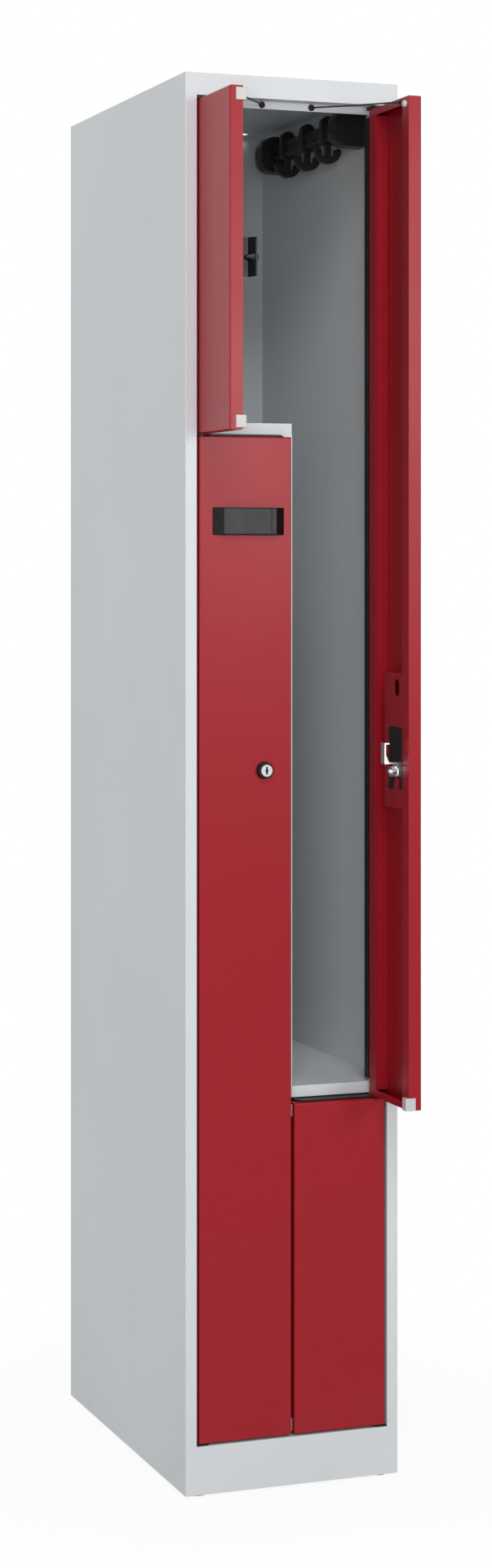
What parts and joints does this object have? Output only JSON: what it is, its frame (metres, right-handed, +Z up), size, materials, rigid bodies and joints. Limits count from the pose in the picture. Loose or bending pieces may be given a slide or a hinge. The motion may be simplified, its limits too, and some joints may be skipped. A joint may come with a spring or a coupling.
{
  "type": "z-locker",
  "caption": "Tall narrow steel locker with interlocking L-shaped compartments, hinged leaves, cam locks and coat rails.",
  "frame": {"origin": "on the floor, under the centre of the carcass footprint", "axes": "+X to the right seen from the front, +Y to the back, +Z up"},
  "size_m": [0.3, 0.6177, 1.85],
  "materials": {
    "carcass_paint": "fine satin powder coat, light grey",
    "door_paint": "fine satin powder coat, deep red",
    "black_plastic": "moulded black",
    "pale_plastic": "moulded pale grey",
    "label_window": "dark glossy sheet",
    "chrome": "bright plated",
    "plated_steel": "zinc plated",
    "black_cord": "thin braided cord"
  },
  "bodies": {
    "carcass": {"left_side_panel": "carcass_paint", "right_side_panel": "carcass_paint", "top_panel": "carcass_paint", "back_panel": "carcass_paint", "plinth": "carcass_paint", "floor_panel": "carcass_paint", "upper_shelf": "carcass_paint", "divider_wall": "carcass_paint", "lower_shelf": "carcass_paint", "levelling_feet": "pale_plastic", "upper_gap_strip": "black_plastic", "lower_gap_strip": "black_plastic", "pivot_bearings": "black_plastic", "pivot_pins": "plated_steel", "hinge_seals": "black_plastic", "cord_buttons": "black_plastic", "coat_rail_upper": "black_plastic", "rail_brackets_upper": "black_plastic", "coat_rail_lower": "black_plastic", "rail_brackets_lower": "black_plastic", "limiter_cord_left": "black_cord", "limiter_cord_right": "black_cord"},
    "leaf_upper_left": {"door_upper_left": "door_paint", "stiffener_upper_left": "door_paint", "bushes_upper_left": "black_plastic", "buffers_upper_left": "pale_plastic", "catch_tongue_upper_left": "black_plastic"},
    "lock_upper_right": {"lock_cylinder_upper_right": "chrome", "lock_cam_upper_right": "chrome"},
    "leaf_upper_right": {"door_upper_right": "door_paint", "stiffener_upper_right": "door_paint", "bushes_upper_right": "black_plastic", "buffers_upper_right": "pale_plastic", "lock_cover_upper_right": "door_paint", "lock_body_upper_right": "black_plastic", "lock_bezel_upper_right": "black_plastic", "label_holder_upper_right": "black_plastic", "label_window_upper_right": "label_window"},
    "lock_lower_left": {"lock_cylinder_lower_left": "chrome", "lock_cam_lower_left": "chrome"},
    "leaf_lower_left": {"door_lower_left": "door_paint", "stiffener_lower_left": "door_paint", "bushes_lower_left": "black_plastic", "buffers_lower_left": "pale_plastic", "lock_cover_lower_left": "door_paint", "lock_body_lower_left": "black_plastic", "lock_bezel_lower_left": "black_plastic", "label_holder_lower_left": "black_plastic", "label_window_lower_left": "label_window"},
    "leaf_lower_right": {"door_lower_right": "door_paint", "stiffener_lower_right": "door_paint", "bushes_lower_right": "black_plastic", "buffers_lower_right": "pale_plastic", "catch_tongue_lower_right": "black_plastic"},
    "hook_upper_1": {"coat_hook_upper_1": "black_plastic"},
    "hook_upper_2": {"coat_hook_upper_2": "black_plastic"},
    "hook_upper_3": {"coat_hook_upper_3": "black_plastic"},
    "hook_lower_1": {"coat_hook_lower_1": "black_plastic"},
    "hook_lower_2": {"coat_hook_lower_2": "black_plastic"},
    "hook_lower_3": {"coat_hook_lower_3": "black_plastic"}
  },
  "joints": [
    {"name": "upper_left_hinge", "type": "hinge", "parent": "carcass", "child": "leaf_upper_left", "pos_m": [-0.1255, -0.2432, 0], "axis": [0, 0, -1], "range_deg": [-90, 0], "deforming": ["limiter_cord_left"]},
    {"name": "upper_right_hinge", "type": "hinge", "parent": "carcass", "child": "leaf_upper_right", "pos_m": [0.1255, -0.2432, 0], "axis": [0, 0, 1], "range_deg": [-90, 0], "deforming": ["limiter_cord_right"]},
    {"name": "lower_left_hinge", "type": "hinge", "parent": "carcass", "child": "leaf_lower_left", "pos_m": [-0.1255, -0.2432, 0], "axis": [0, 0, -1], "range_deg": [0, 95]},
    {"name": "lower_right_hinge", "type": "hinge", "parent": "carcass", "child": "leaf_lower_right", "pos_m": [0.1255, -0.2432, 0], "axis": [0, 0, 1], "range_deg": [0, 95]},
    {"name": "upper_lock_turn", "type": "hinge", "parent": "leaf_upper_right", "child": "lock_upper_right", "pos_m": [0.1323, -0.3283, 0.942], "axis": [1, 0, 0], "range_deg": [0, 90]},
    {"name": "lower_lock_turn", "type": "hinge", "parent": "leaf_lower_left", "child": "lock_lower_left", "pos_m": [-0.0404, -0.25, 0.942], "axis": [0, 1, 0], "range_deg": [0, 90]},
    {"name": "hook_upper_1_slide", "type": "slide", "parent": "carcass", "child": "hook_upper_1", "axis": [0, 1, 0], "range_m": [-0.02, 0.02]},
    {"name": "hook_upper_2_slide", "type": "slide", "parent": "carcass", "child": "hook_upper_2", "axis": [0, 1, 0], "range_m": [-0.02, 0.02]},
    {"name": "hook_upper_3_slide", "type": "slide", "parent": "carcass", "child": "hook_upper_3", "axis": [0, 1, 0], "range_m": [-0.02, 0.02]},
    {"name": "hook_lower_1_slide", "type": "slide", "parent": "carcass", "child": "hook_lower_1", "axis": [0, 1, 0], "range_m": [-0.02, 0.02]},
    {"name": "hook_lower_2_slide", "type": "slide", "parent": "carcass", "child": "hook_lower_2", "axis": [0, 1, 0], "range_m": [-0.02, 0.02]},
    {"name": "hook_lower_3_slide", "type": "slide", "parent": "carcass", "child": "hook_lower_3", "axis": [0, 1, 0], "range_m": [-0.02, 0.02]}
  ]
}
